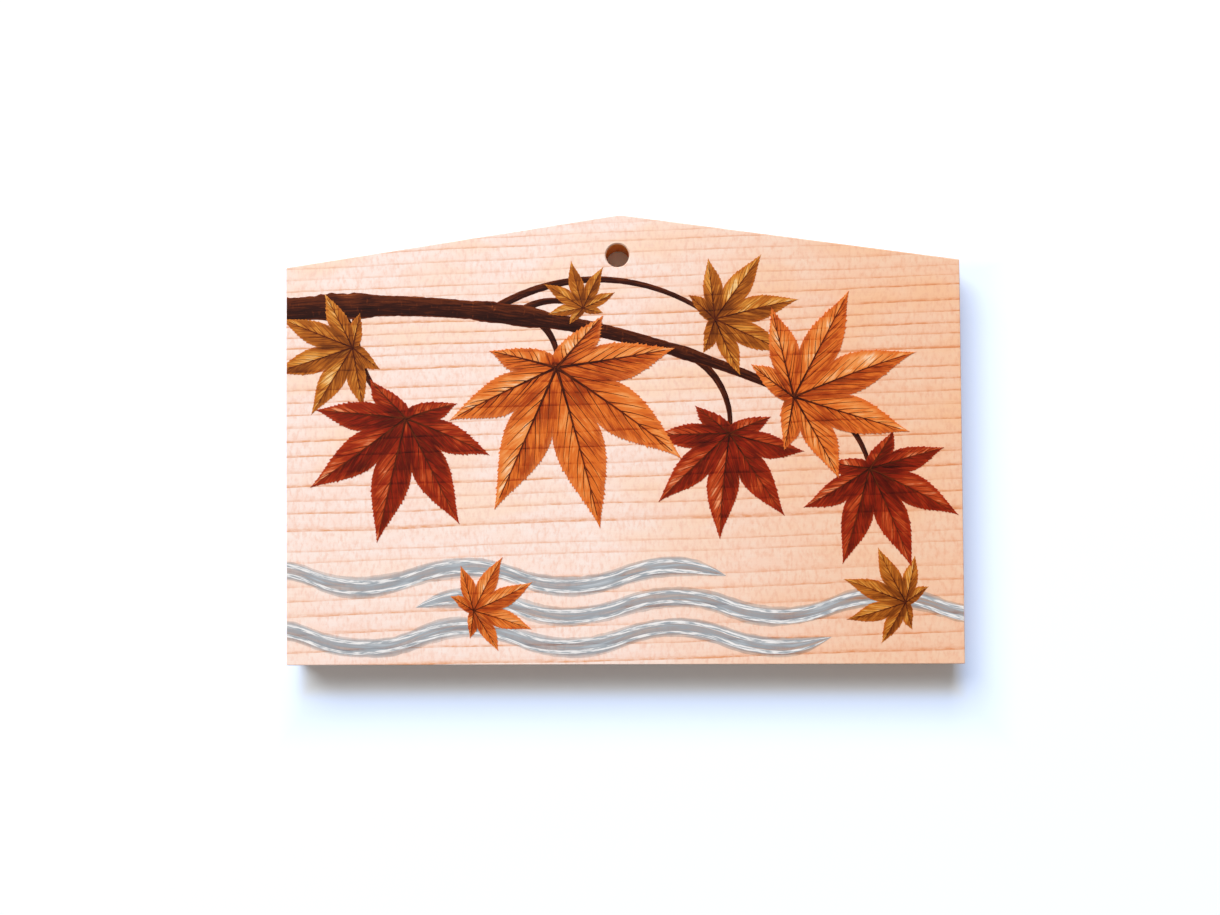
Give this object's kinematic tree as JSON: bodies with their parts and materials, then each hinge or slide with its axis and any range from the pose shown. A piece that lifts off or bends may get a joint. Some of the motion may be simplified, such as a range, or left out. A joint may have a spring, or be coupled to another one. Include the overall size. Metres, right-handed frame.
{
  "type": "ema plaque",
  "caption": "Gabled softwood votive plaque with a hanging hole near its apex and a maple branch and stream painted on its face.",
  "frame": {"origin": "under the middle of the board, on the plane of its back face", "axes": "+Z out of the painted face, +Y towards the apex of the gable, +X along the grain to the right of the face"},
  "size_m": [0.15, 0.0998, 0.0081],
  "materials": {
    "bare_softwood": "planed and sanded, bare",
    "blue_grey_paint": "satin artist's paint",
    "white_paint": "satin artist's paint",
    "dark_brown_paint": "satin artist's paint",
    "ochre_paint": "satin artist's paint",
    "russet_paint": "satin artist's paint",
    "orange_paint": "satin artist's paint",
    "umber_paint": "satin artist's paint"
  },
  "bodies": {
    "root": {"board": "bare_softwood", "water_paint": "blue_grey_paint", "foam_paint": "white_paint", "branch_paint": "dark_brown_paint", "ochre_leaves": "ochre_paint", "russet_leaves": "russet_paint", "orange_leaves": "orange_paint", "vein_paint": "umber_paint"}
  },
  "joints": []
}
